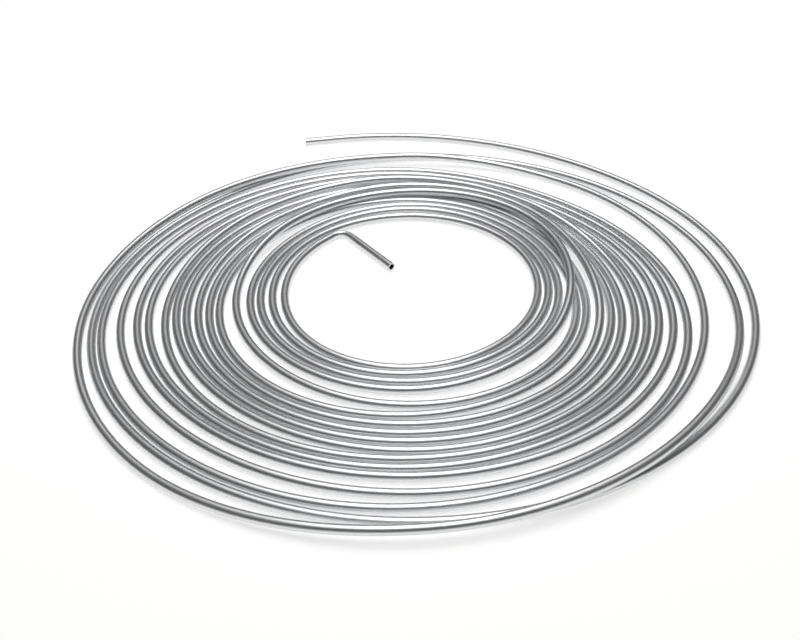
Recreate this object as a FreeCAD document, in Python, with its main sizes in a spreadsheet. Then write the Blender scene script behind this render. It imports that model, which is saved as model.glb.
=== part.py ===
"""A loose flat coil of round aluminium tubing, lying on a level floor.

The coil is one unbroken tube with its bore. It winds clockwise, seen from above, from the free outer
end inwards. Its centre line is driven by the radius of every turn at eight compass directions, and by
how far a turn is lifted where it lies on another. Lengths are in millimetres. The origin is under the
middle of the coil's own box, on the floor, with +Z up.
"""
import FreeCAD
import Part
import Sketcher
import math
import os

Vector = FreeCAD.Vector

# Tube and end pieces: plain numbers in millimetres, or in degrees where the name says angle.
DIMENSIONS = {
    "tube_diameter": 6.35,
    "wall_thickness": 0.889,
    "outer_end_straight": 26.0,
    "outer_end_arc_radius": 270.0,
    "outer_end_arc_angle": 13.0,
    "outer_end_flare": 18.85,
    "inner_end_arc_radius": 94.0,
    "inner_end_arc_angle": 6.3,
    "inner_bend_radius": 9.5,
    "inner_bend_angle": 94.5,
    "inner_end_straight": 55.5,
}

# The eight directions in the order the tube passes them, clockwise from the back of the coil.
DIRECTIONS = ("back", "back_right", "right", "front_right", "front", "front_left", "left", "back_left")
STEP_ANGLE = math.radians(360.0 / len(DIRECTIONS))
FIRST_ANGLE = math.radians(90.0)

# Radius of the centre line about the middle of the central hole: one row a turn, outermost first.
TURN_RADII = (
    (239.5, 226, 240, 242, 232.5, 232, 228.5, 208),
    (198.5, 204.5, 226, 237.6, 243, 246, 235, 210),
    (190, 193.5, 204.5, 216.5, 221.5, 224.5, 221.5, 198.5),
    (174, 164, 186.5, 209.5, 210.5, 209.5, 209.5, 190),
    (167, 157.3, 178.5, 197.5, 197, 197.5, 198, 180),
    (160, 150.2, 169.5, 188, 190, 190.5, 189.5, 172),
    (153, 143.5, 160.5, 181, 182.5, 183, 177.5, 164.5),
    (149.5, 139, 153, 173.5, 175.5, 172.5, 170.5, 158),
    (145, 135.5, 144.5, 165, 167.5, 165.5, 163, 151),
    (138.4, 128.7, 137.2, 157, 160, 158.5, 154.5, 144),
    (136.5, 131, 130.5, 149.5, 152, 151.5, 146.5, 137.5),
    (131, 120.6, 122.5, 138.5, 143.5, 144.5, 139, 130),
    (122.5, 114, 115.5, 131, 134, 129.5, 128.5, 127.5),
    (126.5, 124, 116.5, 117.5, 118.5, 118.5, 118, 115.5),
    (114.5, 107.3, 106.8, 110.5, 111, 111, 110.5, 109),
    (108, 100.5, 99.8, 102, 103, 103.5, 102, 102),
    (98, 93.6, 92.3, 94.5, 96.5, 95.5, 93, 94),
)

# Where a turn rides over others: turn number, direction and lift in tube diameters.
TURN_LIFTS = (
    (2, "front_right", 1.02),
    (2, "front", 1.03),
    (2, "left", 0.62),
    (2, "back_left", 1.03),
    (3, "back", 0.9),
    (7, "back_left", 0.45),
    (8, "back", 0.95),
    (8, "back_right", 0.95),
    (10, "back_left", 0.5),
    (11, "back", 1.01),
    (11, "back_right", 1.01),
    (11, "right", 1.01),
    (13, "back_left", 1.0),
    (14, "back", 1.02),
    (14, "back_right", 1.02),
    (14, "right", 1.05),
    (14, "front_right", 0.3),
)

STATIONS_PER_STEP = 2
ARC_TOLERANCE = 1.0e-9


def make_sheet(doc):
    """Put every driving dimension in a spreadsheet cell with an alias."""
    sheet = doc.addObject("Spreadsheet::Sheet", "Dimensions")
    row = 1
    for name, value in DIMENSIONS.items():
        row = add_cell(sheet, row, name, value)
    lifts = {(turn, direction): lift for turn, direction, lift in TURN_LIFTS}
    for turn, radii in enumerate(TURN_RADII, start=1):
        for direction, radius in zip(DIRECTIONS, radii):
            row = add_cell(sheet, row, radius_name(turn, direction), radius)
            row = add_cell(sheet, row, lift_name(turn, direction), lifts.get((turn, direction), 0.0))
    doc.recompute()
    return sheet


def add_cell(sheet, row, name, value):
    """Write one named number and return the next free row."""
    sheet.set(f"A{row}", name)
    sheet.set(f"B{row}", str(value))
    sheet.setAlias(f"B{row}", name)
    return row + 1


def radius_name(turn, direction):
    """Alias of a turn's radius at one direction."""
    return f"turn_{turn}_{direction}_radius"


def lift_name(turn, direction):
    """Alias of a turn's lift at one direction, in tube diameters."""
    return f"turn_{turn}_{direction}_lift"


def read_column(sheet, name_of):
    """Read one value for each turn and direction, in the order the tube passes them."""
    turns = range(1, len(TURN_RADII) + 1)
    return [sheet.get(name_of(turn, direction)) for turn in turns for direction in DIRECTIONS]


def smooth_radius_curve(radii, end_slope):
    """A cubic with no jump in curvature through the radii: X is the step number and Y the radius."""
    points = [Vector(index, radius, 0) for index, radius in enumerate(radii)]
    curve = Part.BSplineCurve()
    curve.interpolate(
        Points=points,
        Parameters=[float(index) for index in range(len(points))],
        InitialTangent=Vector(1, -end_slope, 0),
        FinalTangent=Vector(1, 0, 0),
    )
    return curve


def lift_at(lifts, position):
    """Height added at a position in steps: the lift eases in and out level between directions."""
    index = min(int(position), len(lifts) - 2)
    part = position - index
    ease = part * part * (3 - 2 * part)
    slope = 6 * part * (1 - part)
    rise = lifts[index + 1] - lifts[index]
    return lifts[index] + rise * ease, rise * slope


def stations(sheet):
    """Points of the centre line through the turns, each with the tube's direction there."""
    diameter = sheet.get("tube_diameter")
    radii = read_column(sheet, radius_name)
    lifts = [lift * diameter for lift in read_column(sheet, lift_name)]
    curve = smooth_radius_curve(radii, sheet.get("outer_end_flare"))
    result = []
    for number in range((len(radii) - 1) * STATIONS_PER_STEP + 1):
        position = number / STATIONS_PER_STEP
        angle = FIRST_ANGLE - position * STEP_ANGLE
        outward = Vector(math.cos(angle), math.sin(angle), 0)
        clockwise = Vector(math.sin(angle), -math.cos(angle), 0)
        radius = curve.value(position).y
        radius_slope = curve.getD1(position)[1].y
        lift, lift_slope = lift_at(lifts, position)
        point = outward * radius + Vector(0, 0, diameter / 2 + lift)
        direction = outward * radius_slope + clockwise * (radius * STEP_ANGLE) + Vector(0, 0, lift_slope)
        result.append((point, direction.normalize()))
    return result


def tangent_arc(start, corner, end):
    """The arc from start to end whose end tangents meet at corner, or a line where they are in line."""
    middle = (start + end) * 0.5
    bulge = corner - middle
    if bulge.Length < ARC_TOLERANCE * start.distanceToPoint(end):
        return Part.LineSegment(start, end).toShape()
    half_chord = start.distanceToPoint(end) / 2
    half_turn = math.atan2(bulge.Length, half_chord)
    rise = half_chord * math.tan(half_turn / 2)
    return Part.Arc(start, middle + bulge.normalize() * rise, end).toShape()


def arc_pair(start, start_direction, end, end_direction):
    """Two arcs that leave one station and reach the next along the tube's direction at each."""
    chord = end - start
    both = start_direction + end_direction
    spread = 4 - both.dot(both)
    along = chord.dot(both)
    if spread < ARC_TOLERANCE:
        reach = chord.dot(chord) / (2 * along)
    else:
        reach = (math.sqrt(along * along + spread * chord.dot(chord)) - along) / spread
    first_corner = start + start_direction * reach
    second_corner = end - end_direction * reach
    joint = (first_corner + second_corner) * 0.5
    return [tangent_arc(start, first_corner, joint), tangent_arc(joint, second_corner, end)]


def level_arc(start, direction, radius, angle):
    """A level arc, clockwise unless the angle is negative. Returns its edge, end and direction there."""
    inward = Vector(direction.y, -direction.x, 0)
    reach = radius * math.tan(math.radians(abs(angle)) / 2)
    turned = direction * math.cos(math.radians(angle)) + inward * math.sin(math.radians(angle))
    corner = start + direction * reach
    end = corner + turned * reach
    return tangent_arc(start, corner, end), end, turned


def outer_end(sheet, start, direction):
    """The free outer end, in the order the tube runs: the straight first, then the arc into the coil."""
    arc, arc_start, outwards = level_arc(
        start, direction * -1, sheet.get("outer_end_arc_radius"), -sheet.get("outer_end_arc_angle"))
    tip = arc_start + outwards * sheet.get("outer_end_straight")
    return [Part.LineSegment(tip, arc_start).toShape(), arc]


def inner_end(sheet, start, direction):
    """The inner end: on round the hole, one sharp bend, and a straight stub that points into the hole."""
    arc, bend_start, direction = level_arc(
        start, direction, sheet.get("inner_end_arc_radius"), sheet.get("inner_end_arc_angle"))
    bend, bend_end, direction = level_arc(
        bend_start, direction, sheet.get("inner_bend_radius"), sheet.get("inner_bend_angle"))
    tip = bend_end + direction * sheet.get("inner_end_straight")
    return [arc, bend, Part.LineSegment(bend_end, tip).toShape()]


def make_centre_line(doc, sheet):
    """The tube's whole centre line, as straight runs and tangent arcs in one wire."""
    points = stations(sheet)
    edges = outer_end(sheet, *level(points[0]))
    for before, after in zip(points, points[1:]):
        edges += arc_pair(*before, *after)
    edges += inner_end(sheet, *level(points[-1]))
    centre_line = doc.addObject("Part::Feature", "CentreLine")
    centre_line.Shape = Part.Wire(edges)
    box = centre_line.Shape.optimalBoundingBox()
    centre_line.Placement = FreeCAD.Placement(Vector(-box.Center.x, -box.Center.y, 0), FreeCAD.Rotation())
    return centre_line


def level(station):
    """A station with its direction laid flat, where an end piece joins the turns."""
    point, direction = station
    return point, Vector(direction.x, direction.y, 0).normalize()


def make_tubing(doc, centre_line):
    """The tube: a ring section at the outer end, carried along the centre line."""
    body = doc.addObject("PartDesign::Body", "Tubing")
    body.Label = "tubing"
    body.Placement = FreeCAD.Placement()
    route = body.newObject("PartDesign::SubShapeBinder", "Route")
    route.Support = [(centre_line, "")]
    section = make_section(doc, body, centre_line)
    pipe = body.newObject("PartDesign::AdditivePipe", "Tube")
    pipe.Profile = section
    pipe.Spine = (route, [f"Edge{number}" for number in range(1, len(centre_line.Shape.Edges) + 1)])
    doc.recompute()
    return body


def make_section(doc, body, centre_line):
    """Sketch of the tube's two circles, square to the centre line at its outer end."""
    section = body.newObject("Sketcher::SketchObject", "Section")
    plane = next(item for item in body.Origin.OriginFeatures if item.Role == "YZ_Plane")
    section.AttachmentSupport = [(plane, "")]
    section.MapMode = "FlatFace"
    doc.recompute()
    first_run = centre_line.Shape.OrderedEdges[0]
    start = first_run.valueAt(first_run.FirstParameter)
    heading = first_run.tangentAt(first_run.FirstParameter)
    square_to_tube = FreeCAD.Placement(start, FreeCAD.Rotation(Vector(0, 0, 1), heading))
    section.AttachmentOffset = section.Placement.inverse() * square_to_tube
    add_circle(section, "outside", "Dimensions.tube_diameter")
    add_circle(section, "bore", "Dimensions.tube_diameter - 2 * Dimensions.wall_thickness")
    return section


def add_circle(section, name, expression):
    """A circle about the sketch's origin, with its diameter bound to the spreadsheet."""
    circle = section.addGeometry(Part.Circle(Vector(0, 0, 0), Vector(0, 0, 1), 1.0), False)
    section.addConstraint(Sketcher.Constraint("Coincident", circle, 3, -1, 1))
    diameter = section.addConstraint(Sketcher.Constraint("Diameter", circle, 2.0))
    section.renameConstraint(diameter, name)
    section.setExpression(f"Constraints.{name}", expression)


def check_document(doc):
    """Stop if any object failed to build."""
    for item in doc.Objects:
        if "Invalid" in item.State or "Error" in item.State:
            raise RuntimeError(f"{item.Label} did not build: {item.State}")


def check_tube(shape, sheet, centre_line):
    """Stop unless the tube is one sound solid whose volume is its ring section times its length."""
    if shape.isNull() or not shape.isValid() or len(shape.Solids) != 1:
        raise RuntimeError("the tube is not one valid solid")
    outside = sheet.get("tube_diameter")
    bore = outside - 2 * sheet.get("wall_thickness")
    length = centre_line.Shape.Length
    expected = math.pi / 4 * (outside ** 2 - bore ** 2) * length
    if abs(shape.Volume / expected - 1) > 1.0e-4:
        raise RuntimeError(f"volume {shape.Volume:.1f} does not match section times length {expected:.1f}")
    print(f"tube length {length:.1f} mm, volume {shape.Volume:.1f} mm3, box {shape.optimalBoundingBox()}")


def main():
    """Build the document, check it and write each sub-part's STEP file."""
    doc = FreeCAD.newDocument("TubingCoil")
    sheet = make_sheet(doc)
    centre_line = make_centre_line(doc, sheet)
    tubing = make_tubing(doc, centre_line)
    doc.recompute()
    check_document(doc)
    check_tube(tubing.Shape, sheet, centre_line)
    os.makedirs("parts", exist_ok=True)
    tubing.Shape.exportStep(os.path.join("parts", f"{tubing.Label}.step"))


main()
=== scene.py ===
"""A loose coil of drawn aluminium tubing on a pale studio floor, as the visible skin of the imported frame."""
import logging
import math
from dataclasses import dataclass, field
from enum import Enum
from typing import Sequence

import bpy
import numpy as np
from mathutils import Euler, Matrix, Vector


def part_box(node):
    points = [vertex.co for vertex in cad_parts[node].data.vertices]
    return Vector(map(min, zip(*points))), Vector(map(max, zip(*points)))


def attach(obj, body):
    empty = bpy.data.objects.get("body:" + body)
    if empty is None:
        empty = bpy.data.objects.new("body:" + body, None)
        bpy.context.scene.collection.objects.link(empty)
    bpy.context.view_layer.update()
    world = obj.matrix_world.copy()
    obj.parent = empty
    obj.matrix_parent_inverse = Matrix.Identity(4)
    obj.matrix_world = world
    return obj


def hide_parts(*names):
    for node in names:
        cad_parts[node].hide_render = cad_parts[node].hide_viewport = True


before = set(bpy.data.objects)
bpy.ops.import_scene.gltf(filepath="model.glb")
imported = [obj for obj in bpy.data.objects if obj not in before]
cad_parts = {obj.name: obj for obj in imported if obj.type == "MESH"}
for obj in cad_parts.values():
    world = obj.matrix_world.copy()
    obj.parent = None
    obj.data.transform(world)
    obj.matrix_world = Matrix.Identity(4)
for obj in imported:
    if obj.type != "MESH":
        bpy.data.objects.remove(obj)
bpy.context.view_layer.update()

logging.basicConfig(level=logging.INFO, format="%(message)s")
LOG = logging.getLogger("tubing_coil")

MM = 0.001
NODE = "tubing"
BODY = "root"
UV_NAME = "along_and_around"


class Compass(Enum):
    """The eight directions at which each turn's radius is stated, in the order the tube passes them."""

    BACK = 0
    BACK_RIGHT = 1
    RIGHT = 2
    FRONT_RIGHT = 3
    FRONT = 4
    FRONT_LEFT = 5
    LEFT = 6
    BACK_LEFT = 7


class Zone(Enum):
    """The three surfaces of the tube, each with a finish of its own. The value is its material slot."""

    OUTSIDE = 0
    CUT = 1
    BORE = 2


@dataclass(frozen=True)
class Lift:
    """Where a turn rides over others: its number from 1, the direction, and the height in tube diameters."""

    turn: int
    direction: Compass
    height: float


@dataclass(frozen=True)
class TubeSize:
    """The tube's section, in millimetres."""

    outside: float = 6.35
    wall: float = 0.889

    @property
    def radius(self) -> float:
        """Outside radius."""
        return self.outside / 2

    @property
    def bore_radius(self) -> float:
        """Radius of the bore."""
        return self.radius - self.wall


@dataclass(frozen=True)
class EndPieces:
    """The straight and curved runs outside the turns, in millimetres and degrees."""

    outer_straight: float = 26.0
    outer_arc_radius: float = 270.0
    outer_arc_angle: float = 13.0
    outer_flare: float = 26.826
    inner_arc_radius: float = 94.0
    inner_arc_angle: float = 6.3
    bend_radius: float = 9.5
    bend_angle: float = 94.5
    inner_straight: float = 55.5


TURN_RADII: tuple[tuple[float, ...], ...] = (
    (239.5, 226, 240, 242, 232.5, 232, 228.5, 208),
    (198.5, 204.5, 226, 237.6, 243, 246, 235, 210),
    (190, 193.5, 204.5, 216.5, 221.5, 224.5, 221.5, 198.5),
    (174, 164, 186.5, 209.5, 210.5, 209.5, 209.5, 190),
    (167, 157.3, 178.5, 197.5, 197, 197.5, 198, 180),
    (160, 150.2, 169.5, 188, 190, 190.5, 189.5, 172),
    (153, 143.5, 160.5, 181, 182.5, 183, 177.5, 164.5),
    (149.5, 139, 153, 173.5, 175.5, 172.5, 170.5, 158),
    (145, 135.5, 144.5, 165, 167.5, 165.5, 163, 151),
    (138.4, 128.7, 137.2, 157, 160, 158.5, 154.5, 144),
    (136.5, 131, 130.5, 149.5, 152, 151.5, 146.5, 137.5),
    (131, 120.6, 122.5, 138.5, 143.5, 144.5, 139, 130),
    (122.5, 114, 115.5, 131, 134, 129.5, 128.5, 127.5),
    (126.5, 124, 116.5, 117.5, 118.5, 118.5, 118, 115.5),
    (114.5, 107.3, 106.8, 110.5, 111, 111, 110.5, 109),
    (108, 100.5, 99.8, 102, 103, 103.5, 102, 102),
    (98, 93.6, 92.3, 94.5, 96.5, 95.5, 93, 94),
)

TURN_LIFTS: tuple[Lift, ...] = (
    Lift(2, Compass.FRONT_RIGHT, 1.02),
    Lift(2, Compass.FRONT, 1.03),
    Lift(2, Compass.LEFT, 0.62),
    Lift(2, Compass.BACK_LEFT, 1.03),
    Lift(3, Compass.BACK, 0.9),
    Lift(7, Compass.BACK_LEFT, 0.45),
    Lift(8, Compass.BACK, 0.95),
    Lift(8, Compass.BACK_RIGHT, 0.95),
    Lift(10, Compass.BACK_LEFT, 0.5),
    Lift(11, Compass.BACK, 1.01),
    Lift(11, Compass.BACK_RIGHT, 1.01),
    Lift(11, Compass.RIGHT, 1.01),
    Lift(13, Compass.BACK_LEFT, 1.0),
    Lift(14, Compass.BACK, 1.02),
    Lift(14, Compass.BACK_RIGHT, 1.02),
    Lift(14, Compass.RIGHT, 1.05),
    Lift(14, Compass.FRONT_RIGHT, 0.3),
)

STEP_ANGLE = 2 * math.pi / len(Compass)
FIRST_ANGLE = math.pi / 2
STATIONS_PER_STEP = 2


@dataclass
class CentreLine:
    """The tube's centre line as numpy arrays: points, unit directions and distance along, in millimetres."""

    size: TubeSize = field(default_factory=TubeSize)
    ends: EndPieces = field(default_factory=EndPieces)
    samples_per_arc: int = 6
    points: np.ndarray = field(init=False)
    directions: np.ndarray = field(init=False)
    along: np.ndarray = field(init=False)
    bend_span: tuple[float, float] = field(init=False)
    station_along: np.ndarray = field(init=False)

    def __post_init__(self) -> None:
        """Lay the outer end, the turns and the inner end one after the other."""
        station_points, station_headings = self._stations()
        outer_start, outer_heading = self._outer_tip(station_points[0], self._flat(station_headings[0]))
        inner = self._inner_corners(station_points[-1], self._flat(station_headings[-1]))
        starts, corners, finishes = self._turn_arcs(station_points, station_headings)
        first = outer_start + outer_heading * self.ends.outer_straight
        reach = self.ends.outer_arc_radius * math.tan(math.radians(self.ends.outer_arc_angle) / 2)
        outer_corner = first + outer_heading * reach
        runs = [self._line(outer_start, first, 7), self._arc(first, outer_corner, station_points[0], 11)]
        runs.append(self._arcs(starts, corners, finishes))
        runs.append(self._arc(inner[0], inner[1], inner[2], 4))
        runs.append(self._arc(inner[2], inner[3], inner[4], 14))
        runs.append(self._line(inner[4], inner[5], 14))
        lengths = np.cumsum([len(run) for run in runs])
        self.points = np.concatenate([*runs, inner[5][None]])
        steps = np.linalg.norm(np.diff(self.points, axis=0), axis=1)
        self.along = np.concatenate([[0.0], np.cumsum(steps)])
        self.directions = self._headings(self.points)
        self.bend_span = (float(self.along[lengths[3]]), float(self.along[lengths[4]]))
        arcs_per_step = 2 * STATIONS_PER_STEP
        self.station_along = self.along[lengths[1]:lengths[2]:arcs_per_step * self.samples_per_arc]

    def _stations(self) -> tuple[np.ndarray, np.ndarray]:
        """Points through the turns with the tube's heading at each.

        The radius is the cubic through the stated radii whose curvature never jumps; the height eases in and
        out level between directions. Differentiating both along the turn gives the heading.

        Returns:
            The points and the unit headings.
        """
        radii = np.array(TURN_RADII, float).ravel()
        lifts = np.zeros_like(radii)
        for lift in TURN_LIFTS:
            lifts[(lift.turn - 1) * len(Compass) + lift.direction.value] = lift.height * self.size.outside
        slopes = self._cubic_slopes(radii, -self.ends.outer_flare, 0.0)
        position = np.arange((len(radii) - 1) * STATIONS_PER_STEP + 1) / STATIONS_PER_STEP
        index = np.minimum(position.astype(int), len(radii) - 2)
        part = position - index
        rise = radii[index + 1] - radii[index]
        before, after = slopes[index], slopes[index + 1]
        bow = before + after - 2 * rise
        radius = radii[index] + part * (before + part * (3 * rise - 2 * before - after + part * bow))
        radius_slope = before + part * (2 * (3 * rise - 2 * before - after) + 3 * part * bow)
        step_up = lifts[index + 1] - lifts[index]
        height = lifts[index] + step_up * part * part * (3 - 2 * part)
        height_slope = step_up * 6 * part * (1 - part)
        angle = FIRST_ANGLE - position * STEP_ANGLE
        outward = np.stack([np.cos(angle), np.sin(angle), np.zeros_like(angle)], axis=1)
        clockwise = np.stack([np.sin(angle), -np.cos(angle), np.zeros_like(angle)], axis=1)
        up = np.array([0.0, 0.0, 1.0])
        points = outward * radius[:, None] + up * (self.size.radius + height)[:, None]
        headings = outward * radius_slope[:, None] + clockwise * (radius * STEP_ANGLE)[:, None]
        headings = headings + up * height_slope[:, None]
        return points, headings / np.linalg.norm(headings, axis=1, keepdims=True)

    @staticmethod
    def _cubic_slopes(values: np.ndarray, first: float, last: float) -> np.ndarray:
        """Slopes at evenly spaced knots that make the curvature continuous.

        Args:
            values: The knot values.
            first: The slope at the first knot.
            last: The slope at the last knot.

        Returns:
            One slope per knot, from the usual three-term equations.
        """
        count = len(values)
        matrix = np.eye(count)
        inside = np.arange(1, count - 1)
        matrix[inside, inside - 1] = 1
        matrix[inside, inside] = 4
        matrix[inside, inside + 1] = 1
        right = np.zeros(count)
        right[0], right[-1] = first, last
        right[inside] = 3 * (values[inside + 1] - values[inside - 1])
        return np.linalg.solve(matrix, right)

    @staticmethod
    def _turn_arcs(points: np.ndarray, headings: np.ndarray) -> tuple[np.ndarray, np.ndarray, np.ndarray]:
        """Two tangent arcs between each pair of stations, as start, corner and end points.

        Both arcs reach equally far along their end headings; the reach solves the quadratic that makes the
        joint between them tangent to both.

        Args:
            points: The stations.
            headings: The unit headings at the stations.

        Returns:
            Starts, tangent corners and ends of all the arcs in order.
        """
        start, end = points[:-1], points[1:]
        chord = end - start
        both = headings[:-1] + headings[1:]
        spread = 4 - np.sum(both * both, axis=1)
        along = np.sum(chord * both, axis=1)
        chord_squared = np.sum(chord * chord, axis=1)
        reach = (np.sqrt(along * along + spread * chord_squared) - along) / spread
        first_corner = start + headings[:-1] * reach[:, None]
        second_corner = end - headings[1:] * reach[:, None]
        joint = (first_corner + second_corner) / 2
        starts = np.stack([start, joint], axis=1).reshape(-1, 3)
        corners = np.stack([first_corner, second_corner], axis=1).reshape(-1, 3)
        ends = np.stack([joint, end], axis=1).reshape(-1, 3)
        return starts, corners, ends

    def _outer_tip(self, start: np.ndarray, heading: np.ndarray) -> tuple[np.ndarray, np.ndarray]:
        """Where the outer end starts, and its heading into the coil.

        Args:
            start: The first station.
            heading: The tube's heading there.

        Returns:
            The tip and the unit heading of the straight.
        """
        angle = math.radians(self.ends.outer_arc_angle)
        side = np.array([heading[1], -heading[0], 0.0])
        straight = heading * math.cos(angle) - side * math.sin(angle)
        reach = self.ends.outer_arc_radius * math.tan(angle / 2)
        arc_start = start - heading * reach - straight * reach
        return arc_start - straight * self.ends.outer_straight, straight

    def _inner_corners(self, start: np.ndarray, heading: np.ndarray) -> list[np.ndarray]:
        """The inner end's points: arc start, corner, end; bend corner, end; tip.

        Args:
            start: The last station.
            heading: The tube's heading there.

        Returns:
            The six points in order.
        """
        result = [start]
        for radius, degrees in (
            (self.ends.inner_arc_radius, self.ends.inner_arc_angle),
            (self.ends.bend_radius, self.ends.bend_angle),
        ):
            angle = math.radians(degrees)
            reach = radius * math.tan(angle / 2)
            inward = np.array([heading[1], -heading[0], 0.0])
            corner = result[-1] + heading * reach
            heading = heading * math.cos(angle) + inward * math.sin(angle)
            result += [corner, corner + heading * reach]
        result.append(result[-1] + heading * self.ends.inner_straight)
        return result

    @staticmethod
    def _flat(heading: np.ndarray) -> np.ndarray:
        """A heading laid level."""
        level = np.array([heading[0], heading[1], 0.0])
        return level / np.linalg.norm(level)

    @staticmethod
    def _line(start: np.ndarray, end: np.ndarray, count: int) -> np.ndarray:
        """Evenly spaced points of a straight, without its last one."""
        share = np.arange(count)[:, None] / count
        return start + (end - start) * share

    def _arc(self, start: np.ndarray, corner: np.ndarray, end: np.ndarray, count: int) -> np.ndarray:
        """Points of one arc, without its last one."""
        return self._sample(start[None], corner[None], end[None], count)

    def _arcs(self, starts: np.ndarray, corners: np.ndarray, ends: np.ndarray) -> np.ndarray:
        """Points of many arcs in order, each without its last one."""
        return self._sample(starts, corners, ends, self.samples_per_arc)

    @staticmethod
    def _sample(starts: np.ndarray, corners: np.ndarray, ends: np.ndarray, count: int) -> np.ndarray:
        """Points on circular arcs given by end points and tangent corners.

        A circle's arc is the weighted mean of its start, corner and end with weights (1-t)^2, 2t(1-t)w and
        t^2, where w is half the chord over the corner's distance.

        Args:
            starts: Arc starts.
            corners: Where each arc's end tangents meet.
            ends: Arc ends.
            count: Points per arc.

        Returns:
            All the points in order.
        """
        weight = np.linalg.norm(ends - starts, axis=1) / 2 / np.linalg.norm(corners - starts, axis=1)
        weight = np.minimum(weight, 1.0)[:, None, None]
        share = (np.arange(count) / count)[None, :, None]
        first, middle, last = (1 - share) ** 2, 2 * share * (1 - share) * weight, share ** 2
        total = first + middle + last
        blended = starts[:, None] * first + corners[:, None] * middle + ends[:, None] * last
        return (blended / total).reshape(-1, 3)

    @staticmethod
    def _headings(points: np.ndarray) -> np.ndarray:
        """Unit direction at each point, from its neighbours."""
        ahead = np.empty_like(points)
        ahead[1:-1] = points[2:] - points[:-2]
        ahead[0] = points[1] - points[0]
        ahead[-1] = points[-1] - points[-2]
        return ahead / np.linalg.norm(ahead, axis=1, keepdims=True)


@dataclass(frozen=True)
class CutEnd:
    """How one end of the tube was cut off, in millimetres and degrees."""

    slant: float
    chamfer: float
    burr: float
    phase: float


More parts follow.
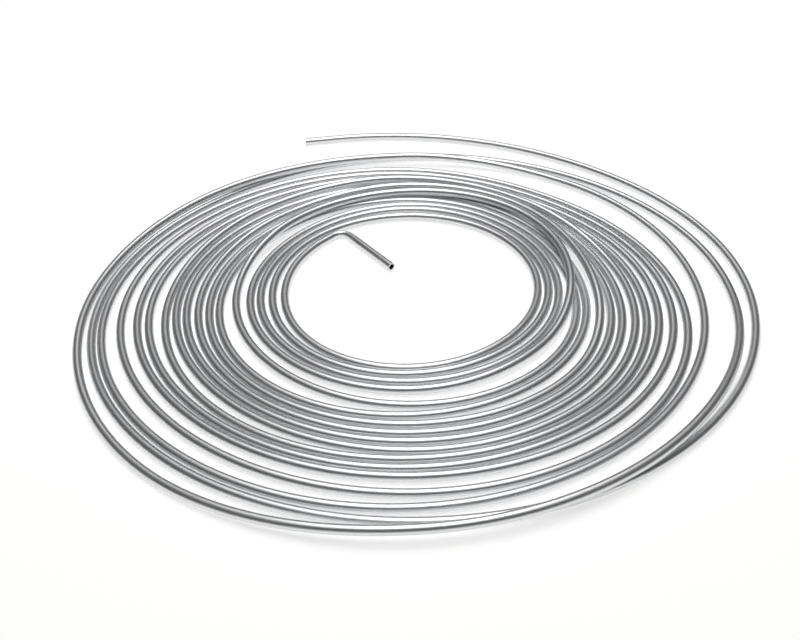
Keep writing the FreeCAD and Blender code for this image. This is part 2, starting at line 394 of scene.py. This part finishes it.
@dataclass
class TubeSkin:
    """The closed surface of the tube: outside, two cut faces and the bore, as one grid of rings."""

    line: CentreLine
    sides: int = 20
    bore_stride: int = 3
    first_cut: CutEnd = field(default_factory=lambda: CutEnd(9.0, 0.12, 0.05, 0.4))
    last_cut: CutEnd = field(default_factory=lambda: CutEnd(3.0, 0.16, 0.10, 2.1))
    bend_squeeze: float = 0.24
    lean_reach: float = 2.4
    burr_reach: float = 0.3
    bore_inset: float = 3.0

    def rings(self) -> tuple[np.ndarray, np.ndarray, np.ndarray]:
        """Lay the rings out along the outside, over the far cut, back down the bore and over the near cut.

        Returns:
            Ring points (rings, sides, 3), distance along for each ring, and each ring's zone.
        """
        size = self.line.size
        inset = np.array([0.0, 0.02, 0.35])
        last = self.line.along[-1]
        start_at = self.first_cut.chamfer + inset
        finish_at = last - self.last_cut.chamfer - inset
        outside_at = np.unique(np.concatenate([start_at, self.line.along[1:-1], finish_at]))
        wall = size.wall
        face_radii = size.radius - np.array([0.7, 1.0, 1.3]) * self.last_cut.chamfer
        bore_edge = size.bore_radius + np.array([0.30, 0.12, 0.02]) * wall * 0.35
        bore_at = self.line.along[1:-1][::self.bore_stride]
        bore_at = bore_at[(bore_at > self.bore_inset) & (bore_at < last - self.bore_inset)]
        near = np.array([0.08, 0.2, 0.9])
        bore_at = np.concatenate([near, bore_at, self.line.along[-1] - near[::-1]])[::-1]
        end_at = np.full(len(face_radii) + len(bore_edge), self.line.along[-1])
        at = np.concatenate([outside_at, end_at, bore_at, end_at * 0])
        radius = np.concatenate([
            np.full(len(outside_at), size.radius), face_radii, bore_edge,
            np.full(len(bore_at), size.bore_radius), bore_edge[::-1], face_radii[::-1],
        ])
        zone = np.concatenate([
            np.full(len(outside_at), Zone.OUTSIDE.value), np.full(len(end_at), Zone.CUT.value),
            np.full(len(bore_at), Zone.BORE.value), np.full(len(end_at), Zone.CUT.value),
        ])
        zone[len(outside_at) - 1] = Zone.CUT.value
        return self._ring_points(at, radius), at, zone

    def _ring_points(self, at: np.ndarray, radius: np.ndarray) -> np.ndarray:
        """Each ring is a circle square to the centre line, squeezed where the tube is bent hard.

        A point at angle a sits at centre + r (cos a * side + sin a * up). Near the hard bend the side part
        shrinks by a bell curve of the distance from its middle, as a thin wall flattens there. Near each cut
        the ring leans by the cut's slant, and its rim carries a low burr made of three sine waves.

        Args:
            at: Distance of each ring along the tube.
            radius: Radius of each ring.

        Returns:
            Points of shape (rings, sides, 3).
        """
        line = self.line
        centre = np.stack([np.interp(at, line.along, line.points[:, axis]) for axis in range(3)], axis=1)
        heading = np.stack([np.interp(at, line.along, line.directions[:, axis]) for axis in range(3)], axis=1)
        heading /= np.linalg.norm(heading, axis=1, keepdims=True)
        side = np.stack([-heading[:, 1], heading[:, 0], np.zeros(len(at))], axis=1)
        side /= np.linalg.norm(side, axis=1, keepdims=True)
        up = np.cross(heading, side)
        angle = np.arange(self.sides) / self.sides * 2 * math.pi
        middle = sum(line.bend_span) / 2
        reach = (line.bend_span[1] - line.bend_span[0]) * 0.55
        bell = np.exp(-((at - middle) / reach) ** 2)
        squeeze = 1 - self.bend_squeeze * bell
        across = radius[:, None] * np.cos(angle) * squeeze[:, None]
        inner_side = np.clip(-np.cos(angle), 0, 1) ** 2
        pucker = 0.35 * bell[:, None] * inner_side * np.cos((at - middle)[:, None] * 1.7)
        across = across + pucker
        upward = radius[:, None] * np.sin(angle)
        points = centre[:, None] + across[..., None] * side[:, None] + upward[..., None] * up[:, None]
        shift = self._cut_shift(at, across, upward, angle)
        return points + shift[..., None] * heading[:, None]

    def _cut_shift(
            self, at: np.ndarray, across: np.ndarray, upward: np.ndarray,
            angle: np.ndarray) -> np.ndarray:
        """How far each point near a cut moves along the tube: the cut's slant plus the burr on its rim.

        Args:
            at: Distance of each ring along the tube.
            across: Each point's distance to the side of the centre line.
            upward: Each point's distance above the centre line.
            angle: Angle of each point round its ring.

        Returns:
            The move along the tube for each point.
        """
        total = self.line.along[-1]
        shift = np.zeros_like(across)
        for cut, distance, sign in ((self.first_cut, at, -1.0), (self.last_cut, total - at, 1.0)):
            near = (np.clip(1 - distance / self.lean_reach, 0, 1) ** 2)[:, None]
            toward = across * math.cos(cut.phase) + upward * math.sin(cut.phase)
            lean = math.tan(math.radians(cut.slant)) * toward
            wave = np.sin(3 * angle + cut.phase) + 0.6 * np.sin(7 * angle + 2 * cut.phase)
            wave = wave + 0.4 * np.sin(13 * angle - cut.phase)
            rim = (np.clip(1 - distance / self.burr_reach, 0, 1) ** 2)[:, None]
            shift = shift + lean * near + sign * cut.burr * 0.5 * wave * rim
        return shift

    def build(self, name: str, origin: Vector) -> bpy.types.Object:
        """Make the mesh object with its UV map and one material index per zone.

        Args:
            name: Name of the object and its mesh.
            origin: Where the middle of the central hole is, in metres.

        Returns:
            The linked object, at the origin, unturned and unscaled.
        """
        points, at, zone = self.rings()
        count = len(at)
        ring = np.arange(count)
        column = np.arange(self.sides)
        here = ring[:, None] * self.sides + column
        ahead = ((ring + 1) % count)[:, None] * self.sides + column
        beside = (column + 1) % self.sides
        quads = np.stack([here, here[:, beside], ahead[:, beside], ahead], axis=2).reshape(-1, 4)
        vertices = points.reshape(-1, 3) * MM + np.array(origin)
        mesh = bpy.data.meshes.new(name)
        mesh.vertices.add(len(vertices))
        mesh.vertices.foreach_set("co", vertices.astype(np.float32).ravel())
        mesh.loops.add(quads.size)
        mesh.loops.foreach_set("vertex_index", quads.astype(np.int32).ravel())
        mesh.polygons.add(len(quads))
        mesh.polygons.foreach_set("loop_start", np.arange(len(quads), dtype=np.int32) * 4)
        mesh.polygons.foreach_set("use_smooth", np.ones(len(quads), bool))
        mesh.polygons.foreach_set("material_index", np.repeat(zone, self.sides).astype(np.int32))
        self._add_uv(mesh, at, count)
        mesh.update(calc_edges=True)
        mesh.validate()
        made = bpy.data.objects.new(name, mesh)
        bpy.context.scene.collection.objects.link(made)
        return made

    def _add_uv(self, mesh: bpy.types.Mesh, at: np.ndarray, count: int) -> None:
        """U is the distance along the tube in metres, V the share of the way round it."""
        following = np.concatenate([at[1:], at[:1]])
        u_here = np.repeat(at, self.sides) * MM
        u_ahead = np.repeat(following, self.sides) * MM
        v_here = np.tile(np.arange(self.sides) / self.sides, count)
        v_beside = v_here + 1 / self.sides
        corners = np.stack([
            np.stack([u_here, v_here], axis=1), np.stack([u_here, v_beside], axis=1),
            np.stack([u_ahead, v_beside], axis=1), np.stack([u_ahead, v_here], axis=1),
        ], axis=1)
        layer = mesh.uv_layers.new(name=UV_NAME)
        layer.data.foreach_set("uv", corners.astype(np.float32).ravel())


class Nodes:
    """A small helper that adds nodes to one tree and joins them."""

    def __init__(self, tree: bpy.types.NodeTree) -> None:
        """Keep the tree to add to."""
        self.tree = tree

    def add(self, kind: str, **inputs: object) -> bpy.types.Node:
        """Add a node and fill its inputs.

        Args:
            kind: The node's type name.
            inputs: Input names, with _ for a space, or in_0 style indices, set to values or
                joined to sockets.

        Returns:
            The node.
        """
        node = self.tree.nodes.new(kind)
        for key, value in inputs.items():
            self.put(node, key, value)
        return node

    def put(self, node: bpy.types.Node, key: str, value: object) -> None:
        """Set one input of a node to a constant, or join a socket to it."""
        name = key.replace("_", " ")
        socket = node.inputs[int(key[3:])] if key.startswith("in_") else node.inputs[name]
        if isinstance(value, bpy.types.NodeSocket):
            self.tree.links.new(value, socket)
        else:
            socket.default_value = value

    def math(
            self, operation: str, first: object, second: object = 0.0,
            clamp: bool = False) -> bpy.types.NodeSocket:
        """One arithmetic step; returns its result."""
        node = self.add("ShaderNodeMath", in_0=first, in_1=second)
        node.operation = operation
        node.use_clamp = clamp
        return node.outputs[0]

    def span(
            self, value: object, low: float, high: float,
            to_low: float = 0.0, to_high: float = 1.0) -> bpy.types.NodeSocket:
        """Rescale a value from one range to another, held at the ends."""
        node = self.add("ShaderNodeMapRange", in_0=value, in_1=low, in_2=high, in_3=to_low, in_4=to_high)
        return node.outputs[0]

    def noise(
            self, vector: bpy.types.NodeSocket, scale: float,
            detail: float = 2.0, rough: float = 0.5) -> bpy.types.NodeSocket:
        """Plain fractal noise; returns its value."""
        node = self.add("ShaderNodeTexNoise", Vector=vector, Scale=scale, Detail=detail, Roughness=rough)
        return node.outputs[0]

    def blend(self, share: object, first: object, second: object) -> bpy.types.NodeSocket:
        """Mix two colours; returns the result."""
        node = self.tree.nodes.new("ShaderNodeMix")
        node.data_type = "RGBA"
        for index, value in ((0, share), (6, first), (7, second)):
            if isinstance(value, bpy.types.NodeSocket):
                self.tree.links.new(value, node.inputs[index])
            else:
                node.inputs[index].default_value = value
        return node.outputs[2]


def group_tree(
        name: str, inputs: Sequence[tuple[str, str]],
        outputs: Sequence[tuple[str, str]]) -> tuple[Nodes, object, object]:
    """Start a shader node group.

    Args:
        name: The group's name.
        inputs: Input names with their socket types.
        outputs: Output names with their socket types.

    Returns:
        The node helper, the group's input node and its output node.
    """
    tree = bpy.data.node_groups.new(name, "ShaderNodeTree")
    for label, kind in inputs:
        tree.interface.new_socket(label, in_out="INPUT", socket_type=kind)
    for label, kind in outputs:
        tree.interface.new_socket(label, in_out="OUTPUT", socket_type=kind)
    nodes = Nodes(tree)
    return nodes, tree.nodes.new("NodeGroupInput"), tree.nodes.new("NodeGroupOutput")


FLOAT, VECTOR, COLOUR = "NodeSocketFloat", "NodeSocketVector", "NodeSocketColor"


class TubeEffects:
    """The node groups that the tube's finishes share."""

    def __init__(self) -> None:
        """Build every group once."""
        self.wrap = self._wrap()
        self.draw = self._draw_lines()
        self.wear = self._wear()
        self.print = self._print()

    @staticmethod
    def _wrap() -> bpy.types.NodeTree:
        """Turn the UV map into a vector with no seam: distance along in mm, and the place round the tube."""
        nodes, _, out = group_tree(
            "tube_coordinates", [], [("Place", VECTOR), ("Along", FLOAT), ("Around", FLOAT)])
        uv = nodes.add("ShaderNodeUVMap")
        uv.uv_map = UV_NAME
        split = nodes.add("ShaderNodeSeparateXYZ", Vector=uv.outputs[0])
        along = nodes.math("MULTIPLY", split.outputs[0], 1000.0)
        turn = nodes.math("MULTIPLY", split.outputs[1], 2 * math.pi)
        place = nodes.add(
            "ShaderNodeCombineXYZ", X=along,
            Y=nodes.math("MULTIPLY", nodes.math("COSINE", turn), 3.175),
            Z=nodes.math("MULTIPLY", nodes.math("SINE", turn), 3.175),
        )
        nodes.tree.links.new(place.outputs[0], out.inputs["Place"])
        nodes.tree.links.new(along, out.inputs["Along"])
        nodes.tree.links.new(split.outputs[1], out.inputs["Around"])
        return nodes.tree

    @staticmethod
    def _draw_lines() -> bpy.types.NodeTree:
        """Fine lines along the tube from the drawing die, plus the slow ripple of hand coiling."""
        nodes, inlet, out = group_tree(
            "draw_lines", [("Place", VECTOR)], [("Lines", FLOAT), ("Ripple", FLOAT)])
        stretch = nodes.add("ShaderNodeVectorMath", in_0=inlet.outputs["Place"], in_1=(0.02, 3.4, 3.4))
        stretch.operation = "MULTIPLY"
        fine = nodes.noise(stretch.outputs[0], 1.0, 3.0, 0.6)
        slow = nodes.add("ShaderNodeVectorMath", in_0=inlet.outputs["Place"], in_1=(0.05, 0.16, 0.16))
        slow.operation = "MULTIPLY"
        nodes.tree.links.new(fine, out.inputs["Lines"])
        nodes.tree.links.new(nodes.noise(slow.outputs[0], 1.0, 1.5), out.inputs["Ripple"])
        return nodes.tree

    @staticmethod
    def _wear() -> bpy.types.NodeTree:
        """Specks, rubbed patches and short scratches."""
        nodes, inlet, out = group_tree(
            "handling_wear", [("Place", VECTOR)],
            [("Specks", FLOAT), ("Rub", FLOAT), ("Scratch", FLOAT)])
        place = inlet.outputs["Place"]
        specks = nodes.span(nodes.noise(place, 1.15, 2.0, 0.55), 0.68, 0.76)
        gate = nodes.span(nodes.noise(place, 0.03, 1.0), 0.45, 0.62)
        rub_place = nodes.add("ShaderNodeVectorMath", in_0=place, in_1=(0.045, 0.35, 0.35))
        rub_place.operation = "MULTIPLY"
        rub = nodes.span(nodes.noise(rub_place.outputs[0], 1.0, 4.0, 0.65), 0.50, 0.72)
        hair_place = nodes.add("ShaderNodeVectorMath", in_0=place, in_1=(0.22, 2.2, 2.2))
        hair_place.operation = "MULTIPLY"
        hair = nodes.span(nodes.noise(hair_place.outputs[0], 1.0, 2.0, 0.5), 0.66, 0.72)
        nodes.tree.links.new(nodes.math("MULTIPLY", specks, gate), out.inputs["Specks"])
        nodes.tree.links.new(rub, out.inputs["Rub"])
        nodes.tree.links.new(nodes.math("MULTIPLY", hair, rub), out.inputs["Scratch"])
        return nodes.tree

    @staticmethod
    def _print() -> bpy.types.NodeTree:
        """One stretch of plain printed dashes, with no letters: on between two distances and on one side."""
        nodes, inlet, out = group_tree(
            "plain_dashes",
            [("Along", FLOAT), ("Around", FLOAT), ("Start", FLOAT), ("Length", FLOAT), ("Side", FLOAT)],
            [("Ink", FLOAT)])
        after = nodes.math("SUBTRACT", inlet.outputs["Along"], inlet.outputs["Start"])
        inside = nodes.math("MULTIPLY", nodes.math("GREATER_THAN", after, 0.0),
                            nodes.math("LESS_THAN", after, inlet.outputs["Length"]))
        dash = nodes.math("LESS_THAN", nodes.math("FRACT", nodes.math("DIVIDE", after, 3.1)), 0.62)
        skip = nodes.math("LESS_THAN", nodes.math("FRACT", nodes.math("DIVIDE", after, 15.5)), 0.80)
        away = nodes.math("SUBTRACT", inlet.outputs["Around"], inlet.outputs["Side"])
        offset = nodes.math("ABSOLUTE", away)
        band = nodes.math("LESS_THAN", offset, 0.042)
        ink = nodes.math("MULTIPLY", nodes.math("MULTIPLY", inside, band), nodes.math("MULTIPLY", dash, skip))
        nodes.tree.links.new(ink, out.inputs["Ink"])
        return nodes.tree

    @staticmethod
    def use(nodes: Nodes, tree: bpy.types.NodeTree, **inputs: object) -> bpy.types.Node:
        """Place a group in a material and fill its inputs."""
        node = nodes.tree.nodes.new("ShaderNodeGroup")
        node.node_tree = tree
        for key, value in inputs.items():
            nodes.put(node, key, value)
        return node


@dataclass(frozen=True)
class MetalFinish:
    """A bare aluminium surface."""

    name: str
    colour: tuple[float, float, float, float]
    dull_colour: tuple[float, float, float, float]
    roughness: float
    line_depth: float
    ripple_depth: float


@dataclass(frozen=True)
class DashStretch:
    """A stretch of plain printed dashes: turn number, share of a turn from the back, and length in mm."""

    turn: int
    share: float
    length: float
    side: float


DRAWN = MetalFinish("drawn_aluminium", (0.80, 0.80, 0.785, 1), (0.58, 0.58, 0.57, 1), 0.10, 0.004, 0.05)
CUT = MetalFinish("sawn_aluminium", (0.90, 0.90, 0.91, 1), (0.72, 0.73, 0.74, 1), 0.38, 0.030, 0.0)
# The bore's colours, about half the outside's, are painted shade inside the tube; its higher roughness and
# grain are the metal's own.
BORE = MetalFinish("bore_aluminium", (0.42, 0.42, 0.43, 1), (0.25, 0.25, 0.26, 1), 0.45, 0.020, 0.0)

DASHES: tuple[DashStretch, ...] = (
    DashStretch(3, 0.94, 24.0, 0.68),
    DashStretch(4, 0.02, 24.0, 0.68),
    DashStretch(5, 0.60, 28.0, 0.68),
    DashStretch(1, 0.40, 20.0, 0.30),
)


@dataclass
class TubeFinishes:
    """Makes the tube's three materials."""

    effects: TubeEffects
    line: CentreLine

    def drawn(self, finish: MetalFinish) -> bpy.types.Material:
        """The outside: bright metal with draw lines, ripple, rubbed patches, specks and plain dashes."""
        nodes, shader, wrap = self._start(finish)
        place = wrap.outputs["Place"]
        draw = self.effects.use(nodes, self.effects.draw, Place=place)
        wear = self.effects.use(nodes, self.effects.wear, Place=place)
        ink: object = 0.0
        for dash in DASHES:
            start = self._distance(dash.turn, dash.share)
            made = self.effects.use(
                nodes, self.effects.print, Along=wrap.outputs["Along"], Around=wrap.outputs["Around"],
                Start=start, Length=dash.length, Side=dash.side)
            ink = nodes.math("MAXIMUM", ink, made.outputs["Ink"])
        soft = nodes.math("MULTIPLY", wear.outputs["Rub"], 0.22)
        colour = nodes.blend(soft, finish.colour, finish.dull_colour)
        specks = nodes.math("MULTIPLY", wear.outputs["Specks"], 0.55)
        colour = nodes.blend(specks, colour, (0.16, 0.15, 0.14, 1))
        colour = nodes.blend(nodes.math("MULTIPLY", ink, 0.62), colour, (0.10, 0.10, 0.12, 1))
        nodes.put(shader, "Base_Color", colour)
        rough = nodes.math("ADD", finish.roughness, nodes.math("MULTIPLY", wear.outputs["Rub"], 0.10))
        rough = nodes.math("ADD", rough, nodes.math("MULTIPLY", draw.outputs["Lines"], 0.06))
        rough = nodes.math("ADD", rough, nodes.math("MULTIPLY", ink, 0.2))
        nodes.put(shader, "Roughness", rough)
        height = nodes.math("MULTIPLY", draw.outputs["Lines"], finish.line_depth)
        ripple = nodes.math("MULTIPLY", draw.outputs["Ripple"], finish.ripple_depth)
        height = nodes.math("ADD", height, ripple)
        height = nodes.math("SUBTRACT", height, nodes.math("MULTIPLY", wear.outputs["Scratch"], 0.006))
        self._bump(nodes, shader, height)
        return self._finish(finish)

    def plain(self, finish: MetalFinish, scale: float) -> bpy.types.Material:
        """A cut face or the bore: grained metal. The bore's darker colours are painted shade inside the tube.
        """
        nodes, shader, wrap = self._start(finish)
        grain = nodes.noise(wrap.outputs["Place"], scale, 4.0, 0.6)
        dull = nodes.span(grain, 0.35, 0.65)
        nodes.put(shader, "Base_Color", nodes.blend(dull, finish.colour, finish.dull_colour))
        rough = nodes.span(grain, 0.3, 0.7, finish.roughness - 0.06, finish.roughness + 0.12)
        nodes.put(shader, "Roughness", rough)
        self._bump(nodes, shader, nodes.math("MULTIPLY", grain, finish.line_depth))
        return self._finish(finish)

    def _start(self, finish: MetalFinish) -> tuple[Nodes, bpy.types.Node, bpy.types.Node]:
        """A material with a metal shader and the tube's coordinates."""
        material = bpy.data.materials.new(finish.name)
        material.use_nodes = True
        nodes = Nodes(material.node_tree)
        shader = material.node_tree.nodes["Principled BSDF"]
        shader.inputs["Metallic"].default_value = 1.0
        return nodes, shader, self.effects.use(nodes, self.effects.wrap)

    @staticmethod
    def _bump(nodes: Nodes, shader: bpy.types.Node, height: bpy.types.NodeSocket) -> None:
        """Join a height in millimetres to the shader's normal."""
        bump = nodes.add("ShaderNodeBump", Height=height, Distance=MM, Strength=1.0)
        nodes.tree.links.new(bump.outputs[0], shader.inputs["Normal"])

    @staticmethod
    def _finish(finish: MetalFinish) -> bpy.types.Material:
        """The material that goes by the finish's name: the frame's own plain one, where it holds that name.

        Args:
            finish: The finish to look up.

        Returns:
            The material found.
        """
        return bpy.data.materials[finish.name]

    def _distance(self, turn: int, share: float) -> float:
        """Distance along the tube, in mm, at a share of a turn after the back."""
        position = (turn - 1 + share) * len(Compass)
        return float(np.interp(position, np.arange(len(self.line.station_along)), self.line.station_along))


@dataclass
class TubingCoil:
    """The whole object: one tube."""

    line: CentreLine = field(default_factory=CentreLine)
    origin: Vector = field(default_factory=Vector)

    def build(self) -> bpy.types.Object:
        """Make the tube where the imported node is, with its finishes, in that node's place.

        Returns:
            The tube's object.
        """
        low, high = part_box(NODE)
        skin = TubeSkin(self.line)
        points = self.line.points
        radius = self.line.size.radius
        middle = (points.min(axis=0) + points.max(axis=0)) / 2
        target = (low + high) / 2
        origin = Vector((target.x - middle[0] * MM, target.y - middle[1] * MM, low.z))
        LOG.info("hole centre at %.3f, %.3f mm; radius %.3f", origin.x / MM, origin.y / MM, radius)
        tube = skin.build("tubing_skin", origin)
        finishes = TubeFinishes(TubeEffects(), self.line)
        tube.data.materials.append(finishes.drawn(DRAWN))
        tube.data.materials.append(finishes.plain(CUT, 6.0))
        tube.data.materials.append(finishes.plain(BORE, 2.5))
        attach(tube, BODY)
        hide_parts(NODE)
        self.origin = origin
        LOG.info("tube %.1f mm long, %d triangles", self.line.along[-1], 2 * len(tube.data.polygons))
        return tube


@dataclass(frozen=True)
class SoftLight:
    """A rectangular soft light: where it is and looks, its sides in metres, its power in watts."""

    name: str
    place: tuple[float, float, float]
    target: tuple[float, float, float]
    width: float
    depth: float
    power: float


@dataclass
class Studio:
    """Pale floor, soft lights, dim room and the camera."""

    hole: Vector
    floor_side: float = 40.0
    lights: tuple[SoftLight, ...] = (
        SoftLight("overhead", (0.0, 0.40, 1.9), (0.0, 0.40, 0.0), 1.2, 2.3, 27.0),
    )

    def build(self) -> None:
        """Make everything that isn't the object."""
        self._floor()
        for light in self.lights:
            self._light(light)
        self._room()
        self._camera()

    def _floor(self) -> None:
        """A flat pale floor that blows out to white for the camera but keeps the coil's contact shadow."""
        half = self.floor_side / 2
        mesh = bpy.data.meshes.new("studio_floor")
        corners = [(-half, -half, 0), (half, -half, 0), (half, half, 0), (-half, half, 0)]
        mesh.from_pydata(corners, [], [(0, 1, 2, 3)])
        floor = bpy.data.objects.new("studio_floor", mesh)
        bpy.context.scene.collection.objects.link(floor)
        material = bpy.data.materials.new("studio_floor")
        material.use_nodes = True
        tree = material.node_tree
        tree.nodes.clear()
        nodes = Nodes(tree)
        path = nodes.add("ShaderNodeLightPath")
        matt = nodes.add("ShaderNodeBsdfDiffuse", Color=(0.80, 0.80, 0.79, 1))
        glow = nodes.add("ShaderNodeEmission", Color=(1, 1, 1, 1), Strength=0.56)
        lit = nodes.add("ShaderNodeAddShader", in_0=matt.outputs[0], in_1=glow.outputs[0])
        shown = nodes.math("ADD", path.outputs["Is Camera Ray"], path.outputs["Is Glossy Ray"])
        shown = nodes.math("ADD", shown, path.outputs["Is Transmission Ray"], clamp=True)
        pick = nodes.add("ShaderNodeMixShader", in_0=shown, in_1=matt.outputs[0], in_2=lit.outputs[0])
        nodes.add("ShaderNodeOutputMaterial", Surface=pick.outputs[0])
        mesh.materials.append(material)

    @staticmethod
    def _light(light: SoftLight) -> None:
        """Hang one soft light."""
        data = bpy.data.lights.new(light.name, "AREA")
        data.shape = "RECTANGLE"
        data.size, data.size_y = light.width, light.depth
        data.energy = light.power
        lamp = bpy.data.objects.new(light.name, data)
        lamp.location = light.place
        lamp.rotation_euler = (Vector(light.target) - Vector(light.place)).to_track_quat("-Z", "Y").to_euler()
        bpy.context.scene.collection.objects.link(lamp)

    @staticmethod
    def _room() -> None:
        """A dim grey room all round."""
        world = bpy.data.worlds.new("studio_room")
        world.use_nodes = True
        tree = world.node_tree
        tree.nodes.clear()
        nodes = Nodes(tree)
        dim = nodes.add("ShaderNodeBackground", Color=(0.032, 0.032, 0.030, 1), Strength=1.0)
        nodes.add("ShaderNodeOutputWorld", Surface=dim.outputs[0])
        bpy.context.scene.world = world

    def _camera(self) -> None:
        """The camera, above the front of the coil and looking down into it, rolled a little."""
        data = bpy.data.cameras.new("camera")
        data.sensor_width = 36.0
        data.lens = 47.25
        camera = bpy.data.objects.new("camera", data)
        camera.location = Vector((self.hole.x - 0.00956, self.hole.y - 0.6352, 0.4451))
        tilt = Euler((math.radians(53.3), 0, 0)).to_matrix()
        roll = Euler((0, 0, math.radians(-3.05))).to_matrix()
        camera.rotation_euler = (tilt @ roll).to_euler()
        bpy.context.scene.collection.objects.link(camera)
        bpy.context.scene.camera = camera


def main() -> None:
    """Build the coil and its studio."""
    bpy.context.scene.view_settings.view_transform = "Standard"
    coil = TubingCoil()
    tube = coil.build()
    Studio(coil.origin).build()
    LOG.info("made %s", tube.name)


if __name__ == "__main__":
    main()
